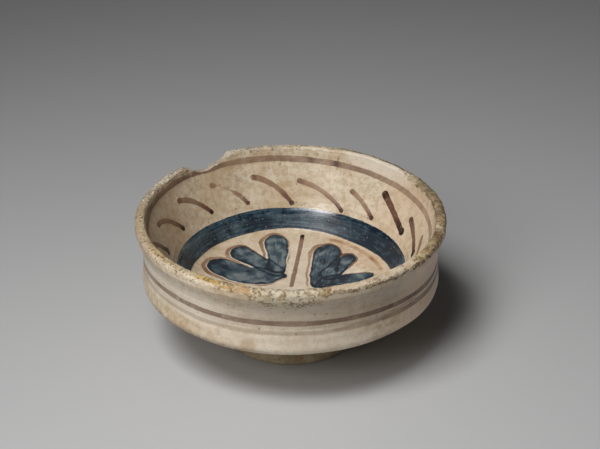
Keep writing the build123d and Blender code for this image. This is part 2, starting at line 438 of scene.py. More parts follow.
# %% [markdown]
# Shader nodes are placed in the tree that was opened last, by one short function. A value that is a
# socket gets linked, and any other value is set on the node. More short functions cover the sums, ranges
# and mixes that every finish needs, so that a finish reads like a recipe.

# %% Node tools
tree = None


def open_tree(node_tree):
    global tree
    tree = node_tree
    return tree


def put_node(kind, settings=None, **inputs):
    node = tree.nodes.new("ShaderNode" + kind)
    for name, value in (settings or {}).items():
        setattr(node, name, value)
    return feed_all(node, **inputs)


def feed(socket, value):
    if isinstance(value, bpy.types.NodeSocket):
        tree.links.new(value, socket)
    else:
        socket.default_value = value


def feed_all(node, **inputs):
    for name, value in inputs.items():
        feed(node.inputs[name.replace("_", " ")], value)
    return node


def calc(operation, first, second=0.0, clamp=False):
    node = put_node("Math", {"operation": operation, "use_clamp": clamp})
    feed(node.inputs[0], first)
    feed(node.inputs[1], second)
    return node.outputs[0]


def chained(operation):
    def join(first, *others):
        for other in others:
            first = calc(operation, first, other)
        return first

    return join


times, plus, minus, most = [chained(name) for name in ("MULTIPLY", "ADD", "SUBTRACT", "MAXIMUM")]


def ramp(value, low, high, to_low=0.0, to_high=1.0):
    node = put_node(
        "MapRange", {"interpolation_type": "SMOOTHSTEP"},
        Value=value, From_Min=low, From_Max=high, To_Min=to_low, To_Max=to_high,
    )
    return node.outputs["Result"]


def between(value, low, low_full, high_full, high):
    return times(ramp(value, low, low_full), ramp(value, high, high_full))


def blend(factor, first, second, way="MIX"):
    node = put_node("Mix", {"data_type": "RGBA", "blend_type": way})
    feed(node.inputs["Factor"], factor)
    for socket, value in ((node.inputs[6], first), (node.inputs[7], second)):
        feed(socket, (*value, 1) if isinstance(value, tuple) else value)
    return node.outputs[2]


def stain_with(colour, marks):
    for mask, strength, stain in marks:
        colour = blend(times(mask, strength), colour, stain)
    return colour


# %% [markdown]
# The patterns are noise, read at the place of a point on the object, so they stay put on the piece.
# Clouds come from one noise node, and dots from a cell pattern of which only a few cells are used. Two
# more tools give the height of a point and its distance from the axis of the bowl.

# %% Patterns and places


def object_place():
    return put_node("TexCoord").outputs["Object"]


def vector_calc(operation, first, second, output="Vector"):
    node = put_node("VectorMath", {"operation": operation})
    feed(node.inputs[0], first)
    feed(node.inputs[1], second)
    return node.outputs[output]


def height_of(place):
    return put_node("SeparateXYZ", Vector=place).outputs["Z"]


def axis_distance(place):
    flat_place = vector_calc("MULTIPLY", place, (1, 1, 0))
    return vector_calc("DISTANCE", flat_place, (0, 0, 0), output="Value")


def cloudy(place, size, detail=3.0, rough=0.55, twist=0.0):
    settings = {"Detail": detail, "Roughness": rough, "Distortion": twist}
    return put_node("TexNoise", Vector=place, Scale=1 / size, **settings).outputs["Fac"]


def dots(place, spacing, rarity, radius, core):
    cells = put_node("TexVoronoi", Vector=place, Scale=1 / spacing, Randomness=1.0)
    chance = put_node("SeparateColor", Color=cells.outputs["Color"]).outputs["Red"]
    used = ramp(chance, rarity, rarity + 0.04)
    return times(ramp(cells.outputs["Distance"], radius, core), used)


# %% [markdown]
# An effect that several finishes share is a node group, built once. These two functions make a group with
# named sockets and place it in a finish.

# %% Group tools


def new_group(name, inputs, outputs):
    group = open_tree(bpy.data.node_groups.new(name, "ShaderNodeTree"))
    for sockets, direction in ((inputs, "INPUT"), (outputs, "OUTPUT")):
        for socket, kind in sockets.items():
            group.interface.new_socket(name=socket, in_out=direction, socket_type="NodeSocket" + kind)
    return group, group.nodes.new("NodeGroupInput"), group.nodes.new("NodeGroupOutput")


def use_group(group, **inputs):
    return put_node("Group", {"node_tree": group}, **inputs)


# %% [markdown]
# Stains and lost glaze belong to certain places on a bowl. A patch is a soft ball round such a place,
# with noise pulling its edge in and out. It only says how far a point is inside the patch, and each
# finish decides what that means. A patch is placed by its azimuth in degrees and by radius, height and
# size in millimetres.

# %% Patch
patch, patch_in, patch_out = new_group(
    "patch", {"Place": "Vector", "Radius": "Float", "Ragged": "Float"}, {"Mask": "Float"}
)
place = object_place()
away = vector_calc("DISTANCE", place, patch_in.outputs["Place"], output="Value")
shake = minus(cloudy(place, 5 * mm, 5, 0.65), 0.5)
reach = plus(away, times(shake, patch_in.outputs["Ragged"]))
inner_reach = times(patch_in.outputs["Radius"], 0.5)
feed_all(patch_out, Mask=ramp(reach, patch_in.outputs["Radius"], inner_reach))


def patch_at(azimuth, radius, height, size, ragged=20.0):
    place = (radius * cos(radians(azimuth)) * mm, radius * sin(radians(azimuth)) * mm, height * mm)
    return use_group(patch, Place=place, Radius=size * mm, Ragged=ragged * mm).outputs["Mask"]


print("group", tree.name, len(tree.nodes), "nodes")

# %% [markdown]
# Old tin glaze is cream, not white, and cloudy from kiln and soil. Its ground is noise at three scales,
# with faint rings left by the wheel, which are noise squeezed in height. The group puts out a colour and
# a height, and every coat and colour is laid over it, so the edge of a painted mark shows the same glaze
# as the wall beside it.

# %% Cream glaze: clouded ground
cream_pale = (0.68, 0.58, 0.44)
cream_warm = (0.57, 0.445, 0.30)
cream_tan = (0.42, 0.30, 0.17)

cream_glaze, _, cream_out = new_group("cream_glaze", {}, {"Colour": "Color", "Height": "Float"})
place = object_place()
height_up = height_of(place)
wheel_place = vector_calc("MULTIPLY", place, (0.10, 0.10, 1.0))
patches = ramp(cloudy(place, 24 * mm, 6, 0.62), 0.34, 0.66)
colour = blend(patches, cream_pale, cream_warm)
tan_clouds = [
    ramp(cloudy(place, 12 * mm, 7, 0.68, 0.4), 0.50, 0.72, 0, 0.55),
    ramp(cloudy(place, 3.0 * mm, 6, 0.78), 0.44, 0.62, 0, 0.65),
    ramp(cloudy(wheel_place, 1.6 * mm, 4, 0.6), 0.50, 0.70, 0, 0.30),
]
for tan_cloud in tan_clouds:
    colour = blend(tan_cloud, colour, cream_tan)
print("group", tree.name, len(tree.nodes), "nodes for the ground")

# %% [markdown]
# Use and burial have marked certain places, and some marks are painted light and shade. Each mark is a
# mask, a strength and a colour, laid on in turn. The wall is whiter above the rim line at the back right.
# It is whiter at the front, as cleaner glaze and as painted bounce light from the floor, and clean on the
# floor. At the left front it is lighter as painted light. Ochre has soaked in along the shoulder there,
# with a chip on its lower turn, which is also darker from spotted dirt and painted shade, and the ochre is
# smeared by the band at the right. The inside is darker at the left from grime and painted shade, and
# toasted at the right. The right flank is lighter and rosy as painted warm bounce light, and a grey painted
# shade lies under the lip at the front. Some masks keep to the outside by the distance from the axis.

# %% Cream glaze: marks of use and burial, and painted light and shade
cream_white = (0.76, 0.68, 0.57)
cream_toast = (0.62, 0.45, 0.30)
# Colour of painted warm bounce light on the shaded right flank.
bounce_light_rosy = (0.86, 0.64, 0.46)
soaked_ochre = (0.42, 0.30, 0.13)
smear_ochre = (0.46, 0.25, 0.11)
# Brown of grime and of painted shade.
grime_and_shade_brown = (0.30, 0.195, 0.115)
# Grey of the painted shade under the overhanging lip.
lip_shade_grey = (0.34, 0.27, 0.20)

spots = ramp(cloudy(place, 2.8 * mm, 5, 0.7), 0.46, 0.60)
outside = ramp(axis_distance(place), 65.4 * mm, 65.9 * mm)
off_wall = most(minus(1.0, outside), ramp(height_up, 55.5 * mm, 58 * mm))
on_wall = between(height_up, 34 * mm, 40 * mm, 50 * mm, 55 * mm)
under_lip = between(height_up, 40 * mm, 46 * mm, 55 * mm, 60 * mm)
whiter = times(patch_at(48, 64, 60, 26), ramp(height_up, 54 * mm, 57 * mm))
ochre = most(patch_at(-145, 66, 32, 20, 30), patch_at(-112, 62, 24, 14, 30))
# Darker inside at the left: grime and painted shade on the wall that faces away from the light.
grime_and_shade = times(patch_at(180, 64, 55, 50, 40), off_wall)
# Whiter at the low front, as cleaner glaze and as painted bounce light from the floor; clean on the inner
# floor.
clean_and_bounce_light = most(patch_at(-90, 58, 24, 46, 30), patch_at(90, 6, 22, 48, 20))
# Lighter on the wall at the left front: painted light where the lamp falls.
painted_light_left = times(on_wall, patch_at(-140, 70, 44, 40, 20))
# Darker on the lower turn at the left front: spotted dirt and painted shade where the wall faces down.
dirt_and_shade = times(patch_at(-135, 66, 28, 46, 20), ramp(height_up, 32.4 * mm, 29.6 * mm))
smear = most(patch_at(52, 41, 24, 11, 14), patch_at(30, 41, 24, 11, 14))
colour = stain_with(colour, [
    (whiter, 0.70, cream_white),
    (times(ochre, spots), 0.70, soaked_ochre),
    (grime_and_shade, 0.45, grime_and_shade_brown),
    (clean_and_bounce_light, 0.40, cream_white),
    (painted_light_left, 0.60, cream_white),
    (dirt_and_shade, ramp(spots, 0, 1, 0.30, 0.75), grime_and_shade_brown),
    (patch_at(-105.5, 67.5, 31.6, 5.0, 5), 0.60, cream_tan),
    (smear, ramp(spots, 0, 1, 0.20, 0.50), smear_ochre),
    (patch_at(20, 58, 44, 34, 20), 0.35, cream_toast),
    # The right flank is lighter and rosier: painted warm bounce light on its shaded side.
    (times(patch_at(-14, 68, 40, 48, 20), outside), 0.75, bounce_light_rosy),
    # Grey painted shade on the wall under the lip at the front.
    (times(under_lip, outside, patch_at(-76, 68, 50, 52, 10)), 0.45, lip_shade_grey),
])
print("group", tree.name, len(tree.nodes), "nodes with the marks")

# %% [markdown]
# Last come tiny dark specks, a lilac stain right of the bite and a fine crack at the back right. The
# crack is the band where a wandering distance to an upright plane is near zero. Specks and crack are also
# dents in the faintly dimpled skin.

# %% Cream glaze: specks, crack and skin
stain_lilac = (0.33, 0.25, 0.21)
speck_dark = (0.13, 0.085, 0.055)
crack_azimuth = 69.5

specks = dots(place, 2.6 * mm, 0.84, 0.26, 0.08)
across = (-sin(radians(crack_azimuth)), cos(radians(crack_azimuth)), 0)
wander = times(minus(cloudy(place, 3 * mm), 0.5), 1.5 * mm)
gap = calc("ABSOLUTE", plus(vector_calc("DOT_PRODUCT", place, across, "Value"), wander))
crack = times(ramp(gap, 0.50 * mm, 0.10 * mm), patch_at(crack_azimuth, 64.5, 54.8, 4.2, 2))
lilac = times(patch_at(117, 61, 51, 11, 14), spots)
colour = stain_with(colour, [
    (specks, 0.55, speck_dark),
    (lilac, 0.45, stain_lilac),
    (crack, 0.60, speck_dark),
])
skin = times(cloudy(place, 1.3 * mm, 2), 0.45)
dents = times(plus(specks, crack), 0.8)
feed_all(cream_out, Colour=colour, Height=minus(skin, dents))
print("group", tree.name, len(tree.nodes), "nodes in all")

# %% [markdown]
# The lip has lost its glaze along the crest, most of all at the front. A level that noise shifts up and
# down says where the glaze ends. Patches move that level: more is lost at the front, glaze is kept inside
# at the back right and all but the rim at the right front, and part of it is kept at the left front, left
# and back. The group is used in the clay and in both coats, so it hides the line where one piece ends and
# the next begins.

# %% Worn lip: where the glaze is lost
worn_lip, _, worn_out = new_group("worn_lip", {}, {"Mask": "Float", "Colour": "Color", "Height": "Float"})
place = object_place()
height_up = height_of(place)
ragged = times(minus(cloudy(place, 4 * mm, 6, 0.7), 0.5), 6 * mm)
from_axis = plus(axis_distance(place), times(ragged, 0.3))
inner_side = ramp(from_axis, 67.1 * mm, 66.4 * mm)
but_rim = ramp(from_axis, 69.5 * mm, 68.8 * mm)
outer_side = ramp(from_axis, 68.3 * mm, 69.5 * mm)
white_inside = patch_at(62, 66, 60, 36, 10)
lost = times(patch_at(-91, 67, 58, 19), 6.0 * mm)
kept = most(
    times(inner_side, white_inside),
    times(but_rim, patch_at(-56, 69, 60, 27, 10)),
)
part_kept = most(
    times(outer_side, patch_at(-138, 69, 60, 34, 10)),
    times(patch_at(185, 69, 60, 56, 10), 0.40),
    times(patch_at(112, 68, 61, 54, 10), 0.50),
)
kept = plus(times(kept, 5 * mm), times(part_kept, 2.4 * mm))
level = minus(plus(height_up, ragged, lost), kept)
worn = ramp(level, bowl_height - 2.5 * mm, bowl_height - 1.8 * mm)
print("group", tree.name, len(tree.nodes), "nodes for the loss")

# %% [markdown]
# Glaze breaks off with a dark edge, which is painted shade of the broken step, in a band where the glaze
# ends. At the right front that edge is a broken line of its own, and small flecks have come out of the
# glaze that is left, all round but for the white inside at the back right.

# %% Worn lip: painted shade of the broken edge, and flecks
unworn = minus(1.0, worn)
# The dark edge is painted shade of the step where the glaze breaks off.
edge = times(
    ramp(level, bowl_height - 3.6 * mm, bowl_height - 2.8 * mm),
    ramp(level, bowl_height - 1.0 * mm, bowl_height - 1.8 * mm),
    ramp(cloudy(place, 3.4 * mm, 5, 0.7), 0.40, 0.52),
    patch_at(-46, 71, 58.5, 42, 10),
)
flecks = times(
    ramp(cloudy(place, 2.2 * mm, 5, 0.72), 0.53, 0.61),
    ramp(height_up, bowl_height - 4.0 * mm, bowl_height - 2.4 * mm),
    minus(1.0, white_inside),
    unworn,
)
# Painted shade along the broken edge, with the flecks, which are chips out of the glaze.
edge_shade_and_flecks = plus(times(worn, unworn, 1.4), times(plus(edge, flecks), 0.55))
feed_all(worn_out, Mask=most(worn, edge, times(flecks, 0.85)))
print("group", tree.name, len(tree.nodes), "nodes with the edge")

# %% [markdown]
# What the loss lays bare is buff clay. Iron has stained it ochre and orange at the left front and rusty
# and olive at the right. It is greyer at the front and chalky at the back. Each stain has its azimuth,
# radius, height and size, then its colour and strength.

# %% Worn lip: bare clay and its stains
bare_buff = (0.49, 0.38, 0.22)
bare_pale = (0.61, 0.52, 0.37)
bare_brown = (0.25, 0.16, 0.065)
bare_ochre = (0.50, 0.31, 0.06)
bare_orange = (0.44, 0.22, 0.06)
bare_olive = (0.17, 0.125, 0.065)
bare_grey = (0.58, 0.53, 0.43)
bare_rust = (0.17, 0.085, 0.035)
bare_chalk = (0.72, 0.65, 0.54)
stain_places = [
    (-146.0, 69, 60, 13, bare_ochre, 0.35),
    (-119.0, 67, 60, 9, bare_ochre, 0.80),
    (-109.0, 67, 59, 8, bare_orange, 0.60),
    (-90.0, 68, 59, 15, bare_grey, 0.55),
    (-74.0, 69, 58, 8, bare_brown, 0.60),
    (-36.0, 68, 60, 13, bare_ochre, 0.35),
    (-24.0, 67, 60, 11, bare_brown, 0.75),
    (-16.0, 70, 59, 9, bare_rust, 0.95),
    (-2.0, 67, 61, 11, bare_brown, 0.85),
    (10.0, 68, 61, 9, bare_rust, 0.75),
    (3.0, 73, 60, 14, bare_olive, 0.95),
    (22.0, 73, 60, 16, bare_olive, 0.90),
    (44.0, 73, 60, 16, bare_olive, 0.90),
    (62.0, 74, 60, 14, bare_olive, 0.80),
    (100.0, 68, 61, 36, bare_chalk, 0.70),
    (150.0, 68, 61, 30, bare_chalk, 0.70),
    (190.0, 65, 59, 24, bare_brown, 0.40),
]
buff = blend(ramp(cloudy(place, 2.2 * mm, 5, 0.65), 0.36, 0.60), bare_buff, bare_pale)
mottled = ramp(cloudy(place, 2.4 * mm, 5, 0.7), 0.34, 0.56, 0.35, 1.0)
for azimuth, radius, height, size, stain, strength in stain_places:
    amount = times(patch_at(azimuth, radius, height, size), strength, mottled)
    buff = blend(amount, buff, stain)
brown_clouds = [
    ramp(cloudy(place, 1.9 * mm, 6, 0.72), 0.48, 0.62, 0, 0.45),
    ramp(cloudy(place, 4.5 * mm, 5, 0.7, 0.5), 0.52, 0.62, 0, 0.75),
]
for brown_cloud in brown_clouds:
    buff = blend(brown_cloud, buff, bare_brown)
print(len(stain_places), "stains on the bare lip")

# %% [markdown]
# The bare clay is pitted, and dark soil sits in the pits, most of all in clusters, at the back and at the
# left front. The pits are cells of a pattern whose places are bent by noise, so that none is round.

# %% Worn lip: pits, soil and grit
bare_soil = (0.085, 0.050, 0.025)
pit_bend = (1.4 * mm, 1.4 * mm, 1.4 * mm)

bent = put_node("VectorMath", {"operation": "MULTIPLY_ADD"})
bending = put_node("TexNoise", Vector=place, Scale=1 / (1.2 * mm)).outputs["Color"]
for socket, value in zip(bent.inputs, (bending, pit_bend, place)):
    feed(socket, value)
pits = put_node("TexVoronoi", Vector=bent.outputs["Vector"], Scale=1 / (1.4 * mm), Randomness=1.0)
clusters = most(
    ramp(cloudy(place, 6.0 * mm, 5, 0.7), 0.44, 0.56),
    patch_at(140, 68, 61, 62, 10),
    patch_at(-146, 69, 60, 20, 10),
)
pit = times(ramp(pits.outputs["Distance"], 0.46, 0.20), clusters)
soil = ramp(cloudy(place, 1.6 * mm, 6, 0.75), 0.49, 0.62, 0, 0.80)
soil = times(soil, ramp(clusters, 0, 1, 0.15, 1.0))
dark = calc("ADD", most(times(pit, 0.75), soil), edge_shade_and_flecks, clamp=True)
grit = times(cloudy(place, 0.8 * mm, 4), 0.7)
feed_all(worn_out, Colour=blend(dark, buff, bare_soil), Height=minus(grit, times(pit, 1.3)))
print("group", tree.name, len(tree.nodes), "nodes in all")

# %% [markdown]
# A brush leaves an edge that is neither sharp nor straight, and hair marks along its path. Each painted
# piece carries attributes: paint is about 0.4 at the drawn edge and rises inwards, load says how much
# colour the brush held, and along and across are places on the stroke. This group turns them into a mask
# with a ragged edge and into streaks.

# %% Brush marks
brush_marks, brush_in, brush_out = new_group(
    "brush_marks", {"Raggedness": "Float"}, {"Mask": "Float", "Load": "Float", "Streaks": "Float"}
)
place = object_place()


def carried(name):
    return put_node("Attribute", {"attribute_name": name}).outputs["Fac"]


shake = minus(cloudy(place, 1.6 * mm, 4, 0.6), 0.5)
shaken = plus(carried("paint"), times(shake, brush_in.outputs["Raggedness"]))
slow_along = times(carried("along"), 0.10)
hair_place = put_node("CombineXYZ", X=slow_along, Y=carried("across")).outputs["Vector"]
streaks = cloudy(hair_place, 1.0 * mm, 4, 0.6, 0.3)
feed_all(brush_out, Mask=ramp(shaken, 0.32, 0.48), Load=carried("load"), Streaks=streaks)
print("group", tree.name, len(tree.nodes), "nodes")

# %% [markdown]
# The finishes are built from those groups, and each keeps a shader of its own. The plain glaze mixes the
# cream glaze with the bare look of the worn lip. The same mix lies under every painted finish and shows
# at its ragged edges.

# %% Finish of the glaze


def new_finish(name):
    material = bpy.data.materials.new(name)
    material.use_nodes = True
    return material, open_tree(material.node_tree).nodes["Principled BSDF"]


def lay_glaze():
    glaze = use_group(cream_glaze)
    bare = use_group(worn_lip)
    mask = bare.outputs["Mask"]
    colour = blend(mask, glaze.outputs["Colour"], bare.outputs["Colour"])
    roughness = ramp(mask, 0, 1, 0.40, 0.85)
    height = put_node("Mix", {"data_type": "FLOAT"}, Factor=mask)
    feed(height.inputs[2], glaze.outputs["Height"])
    feed(height.inputs[3], bare.outputs["Height"])
    return colour, roughness, height.outputs[0]


def dress(shader, colour, roughness, height, depth=0.10 * mm):
    bump = put_node("Bump", Height=height, Distance=depth, Strength=1.0).outputs["Normal"]
    feed_all(shader, Base_Color=colour, Roughness=roughness, Normal=bump)


white_glaze, shader = new_finish("white_glaze")
dress(shader, *lay_glaze())
print("finish", white_glaze.name, len(tree.nodes), "nodes")

# %% [markdown]
# Brown is thin and sinks into the glaze, so it only tints it, darker where the brush was loaded and
# nearly black where the colour pooled. Five browns differ in how well they cover, thin and full, and in
# their light and dark tints.

# %% Finishes of the brown
brown_pooled = (0.020, 0.011, 0.006)


def brown_finish(name, thin_cover, full_cover, light, dark):
    material, shader = new_finish(name)
    colour, roughness, height = lay_glaze()
    brush = use_group(brush_marks, Raggedness=0.24)
    place = object_place()
    streaks = times(brush.outputs["Streaks"], 0.45)
    mottle = times(cloudy(place, 3 * mm, 5, 0.65), 0.35)
    load = plus(brush.outputs["Load"], streaks, mottle)
    tint = blend(ramp(load, 0.55, 1.05), light, dark)
    tint = blend(ramp(load, 1.05, 1.40), tint, brown_pooled)
    worn_thin = ramp(cloudy(place, 6 * mm, 6, 0.7), 0.28, 0.46, 0.65, 1.0)
    cover = ramp(brush.outputs["Load"], 0.2, 0.8, thin_cover, full_cover)
    cover = times(brush.outputs["Mask"], worn_thin, cover)
    shader.inputs["Specular IOR Level"].default_value = 0.3
    dress(shader, blend(cover, colour, tint), roughness, height)
    return material


brown_stroke = brown_finish("brown_stroke", 0.78, 1.0, (0.25, 0.135, 0.078), (0.125, 0.055, 0.034))
brown_line = brown_finish("brown_line", 0.70, 0.95, (0.26, 0.155, 0.095), (0.145, 0.078, 0.050))
brown_leaf_line = brown_finish("brown_leaf_line", 0.65, 0.95, (0.34, 0.165, 0.065), (0.16, 0.070, 0.035))
brown_faint = brown_finish("brown_faint", 0.36, 0.80, (0.30, 0.19, 0.12), (0.19, 0.11, 0.070))
brown_smear = brown_finish("brown_smear", 0.55, 0.85, (0.46, 0.28, 0.14), (0.30, 0.15, 0.07))
print("finishes:", [material.name for material in bpy.data.materials][-5:])

# %% [markdown]
# Blue is thick and glossy. It is nearly black where it pooled, with greyer streaks where it ran thin, a
# green cast in places and pale pinholes left by bubbles. The upper edge of the band shines most, so
# roughness falls with height.

# %% Finish of the blue
blue_thin = (0.155, 0.182, 0.188)
blue_full = (0.046, 0.078, 0.100)
blue_pooled = (0.008, 0.017, 0.029)
green_cast = (0.75, 1.05, 0.95)
pinhole_grey = (0.42, 0.42, 0.38)

thick_blue, shader = new_finish("thick_blue")
colour, _, height = lay_glaze()
brush = use_group(brush_marks, Raggedness=0.22)
place = object_place()
depth = plus(
    brush.outputs["Load"],
    times(cloudy(place, 7 * mm, 6, 0.66, 0.8), 1.4),
    times(brush.outputs["Streaks"], 1.4),
    times(cloudy(place, 1.2 * mm, 4, 0.65), 0.35),
    minus(cloudy(place, 3.2 * mm, 4, 0.6, 1.0), 0.5),
)
blue = blend(ramp(depth, 1.45, 1.95), blue_thin, blue_full)
blue = blend(ramp(depth, 1.90, 2.45), blue, blue_pooled)
green = ramp(cloudy(place, 9 * mm, 4), 0.52, 0.66, 0, 0.5)
blue = blend(green, blue, blend(1.0, blue, green_cast, way="MULTIPLY"))
pinholes = dots(place, 1.5 * mm, 0.78, 0.28, 0.10)
blue = stain_with(blue, [(pinholes, 0.45, pinhole_grey)])
painted = blend(brush.outputs["Mask"], colour, blue)
roughness = ramp(height_of(place), 31.5 * mm, 34.0 * mm, 0.40, 0.07)
skin = plus(height, times(brush.outputs["Streaks"], 1.5))
shader.inputs["Specular IOR Level"].default_value = 0.6
dress(shader, painted, roughness, skin)
print("finish", thick_blue.name, len(tree.nodes), "nodes")

# %% [markdown]
# Bare clay has two looks. At the foot it is buff to olive brown from handling and soil, with rusty
# clouds. In the bite it is freshly broken: paler, dull and grainy.

# %% Finishes of bare and broken clay
grain_dark = (0.05, 0.036, 0.022)


def clay_finish(name, light, dark, clouded, grain_depth):
    material, shader = new_finish(name)
    place = object_place()
    broad = cloudy(place, 9 * mm, 5, 0.6)
    fine = cloudy(place, 1.1 * mm, 4, 0.65)
    colour = blend(ramp(broad, 0.35, 0.65), light, dark)
    colour = blend(ramp(cloudy(place, 16 * mm, 3), 0.55, 0.70, 0, 0.6), colour, clouded)
    colour = blend(ramp(fine, 0.52, 0.72, 0, 0.55), colour, grain_dark)
    dress(shader, colour, ramp(fine, 0.3, 0.7, 0.78, 0.95), fine, grain_depth)
    return material


foot_clay = clay_finish("foot_clay", (0.62, 0.49, 0.31), (0.41, 0.32, 0.19), (0.54, 0.31, 0.17), 0.35 * mm)
broken_clay = clay_finish("broken_clay", (0.60, 0.52, 0.41), (0.46, 0.38, 0.28), (0.55, 0.43, 0.30), 0.5 * mm)
print("finishes:", foot_clay.name, broken_clay.name)

# %% [markdown]
# Colour lies on the glaze as a thin pad. Each pad starts as a flat grid or a turned strip, is wrapped
# onto the glaze, swells where the paint is thick and gets a back that is sunk into the coat. The paint
# attribute comes from the distance to the drawn edge, negative inside.

# %% Pads of paint
pad_lift = 0.03 * mm
pad_back = 0.15 * mm


def wrap(piece, onto, straight_down):
    if straight_down:
        apply_modifier(
            piece, "SHRINKWRAP", target=onto, wrap_method="PROJECT", use_project_z=True,
            use_negative_direction=True, use_positive_direction=False, offset=pad_lift,
        )
    else:
        apply_modifier(
            piece, "SHRINKWRAP", target=onto, wrap_method="NEAREST_SURFACEPOINT",
            wrap_mode="ABOVE_SURFACE", offset=pad_lift,
        )


def thicken(piece, distance, load, along, across, thickness, full_depth=0.80):
    paint = np.clip(0.4 - distance / (2.5 * mm), 0, 1)
    for name, values in (("paint", paint), ("load", load), ("along", along), ("across", across)):
        note(piece, name, values)
    weigh(piece, "thick", smooth_step(paint, 0.28, full_depth))
    apply_modifier(
        piece, "DISPLACE", direction="NORMAL", mid_level=0.0, strength=thickness, vertex_group="thick"
    )
    apply_modifier(piece, "SOLIDIFY", thickness=pad_back, offset=-1.0)
    only(piece)
    bpy.ops.object.shade_smooth_by_angle(angle=radians(50))


print("pads:", round(pad_lift / mm, 2), "mm above the glaze, back", round(pad_back / mm, 2), "mm deep")

# %% [markdown]
# The rings are strips of the section, turned and wrapped. The painter's hand drifted, so a strip is
# tilted before it is wrapped. Each ring has three functions of the azimuth: sway lifts it, edges move its
# two edges in or out, and load says how much colour it holds.

# %% Ring tool
ring_margin = 3.0 * mm
ring_stand_off = 2.0 * mm
ring_cell = 0.5 * mm
ring_drift = 0.33 * mm


def bump_at(azimuth, middle, half_angle):
    away = (azimuth - middle + 180) % 360 - 180
    return np.exp(-((away / half_angle) ** 2))


def azimuth_of(points):
    return np.degrees(np.arctan2(points[:, 1], points[:, 0]))


def ring_strip(name, height, width, inside, sway, steps=720):
    low = position_of(height - width / 2, inside)
    top = position_of(height + width / 2, inside)
    start, end = min(low, top) - ring_margin, max(low, top) + ring_margin
    count = max(8, int((end - start) / ring_cell))
    positions = np.linspace(start, end, count)
    line = sunk(np.array([at_length(p) for p in positions]), -ring_stand_off)
    piece = turned(name, line, steps)
    points = points_of(piece)
    rows = np.argmin(np.abs(points[:, 2][:, None] - line[None, :, 1]), axis=1)
    points[:, 2] += sway(azimuth_of(points))
    move_points(piece, points)
    return piece, positions[rows] - (start + end) / 2, abs(top - low) / 2


def lay_ring(name, node, slot, material, onto, height, width, sway, edges, load, thickness):
    inside = onto is inner_glaze
    piece, across, half = ring_strip(name, height, width, inside, sway)
    wrap(piece, onto, straight_down=False)
    points = points_of(piece)
    first_face = piece.data.polygons[0]
    outward = Vector((first_face.center.x, first_face.center.y, 0))
    if (first_face.normal.dot(outward) < 0) != inside:
        with edit_mode(piece):
            bpy.ops.mesh.flip_normals()
    azimuth = azimuth_of(points)
    drift = unevenness(points, 9 * mm)
    upper_edge, lower_edge = edges(azimuth)
    distance = np.maximum(upper_edge - half - across, across - half - lower_edge) + ring_drift * drift
    along = np.radians(azimuth) * floor_edge_radius
    thicken(piece, distance, load(azimuth) + 0.25 * drift, along, across, thickness, full_depth=1.0)
    finish_piece(piece, node, slot, material)
    return piece


print("a ring has a row of faces about every", round(ring_cell / mm, 2), "mm")

# %% [markdown]
# The line under the lip climbs on the left, where it is also wider, and sinks on the right. It is darkest
# in two dots by the crack and fades at the right and beside the bite. The band sits lower at the back
# right and holds more colour there. The two lines outside are highest at the front, climb once more at
# the left and are darkest at the right front.

# %% Rings: rim line, band and the two lines outside
band_low = floor_edge_height + 1.0 * mm
band_top = band_low + 8.4 * mm
rim_line_height = bowl_height - 6.1 * mm
rim_line_width = 2.7 * mm
rim_line_rise = 2.5 * mm
lower_line_height = shoulder[1] + 7.2 * mm
upper_line_height = shoulder[1] + 10.9 * mm
bite_azimuth = 127.0


def rim_sway(azimuth):
    return -rim_line_rise * np.cos(np.radians(azimuth)) - 0.6 * mm * bump_at(azimuth, bite_azimuth, 8)


def rim_edges(azimuth):
    return 0.0, 1.6 * mm * bump_at(azimuth, 190, 26)


def rim_load(azimuth):
    dots_by_crack = 0.38 * bump_at(azimuth, 70.5, 1.9) + 0.22 * bump_at(azimuth, 81.5, 1.2)
    dark = 0.06 * bump_at(azimuth, 180, 40) + dots_by_crack
    faded = 0.14 * bump_at(azimuth, 15, 35) + 0.26 * bump_at(azimuth, 117, 6)
    return 0.46 + dark - 0.22 * bump_at(azimuth, 76, 3.5) - faded


def band_edges(azimuth):
    pressed = bump_at(azimuth, 48, 24)
    return 0.7 * mm * pressed, 1.9 * mm * pressed


def no_sway(azimuth):
    return 0.0


def plain_edges(azimuth):
    return 0.0, 0.0


def outer_sway(rise, climb):
    return lambda azimuth: -rise * np.sin(np.radians(azimuth)) + climb * bump_at(azimuth, -150, 24)


def swelling(plain, more, middle, half_angle):
    return lambda azimuth: plain + more * bump_at(azimuth, middle, half_angle)


rim_line = lay_ring(
    "rim_line", "inner_rim_line", "brown_slip", brown_line, inner_glaze, rim_line_height, rim_line_width,
    rim_sway, rim_edges, rim_load, 0.08 * mm,
)
lay_ring(
    "floor_band", "blue_band", "blue_slip", thick_blue, inner_glaze,
    (band_low + band_top) / 2, band_top - band_low,
    no_sway, band_edges, swelling(0.54, 0.40, 34, 28), 0.50 * mm,
)
lay_ring(
    "line_outside_lower", "outer_lower_line", "brown_slip", brown_faint, outer_glaze,
    lower_line_height, 2.1 * mm,
    outer_sway(2.7 * mm, 1.2 * mm), plain_edges, swelling(0.26, 0.50, -22, 32), 0.05 * mm,
)
lay_ring(
    "line_outside_upper", "outer_upper_line", "brown_slip", brown_line, outer_glaze,
    upper_line_height, 2.4 * mm,
    outer_sway(3.7 * mm, 1.6 * mm), plain_edges, swelling(0.46, 0.16, -25, 35), 0.08 * mm,
)

# %% [markdown]
# Sixteen strokes slant down the wall between the rim line and the band. Those on the left set off level
# and fall faster and faster, those on the right fall nearly straight. The back ten follow what can be
# seen, and the front six carry the rhythm on. A row gives the azimuth of the head, the levels of head and
# tail as shares of the way up, the sweep in degrees, the bend and the weight. A few strokes are paler or
# darker, worn away over a share of their length, or heavier than the rest.

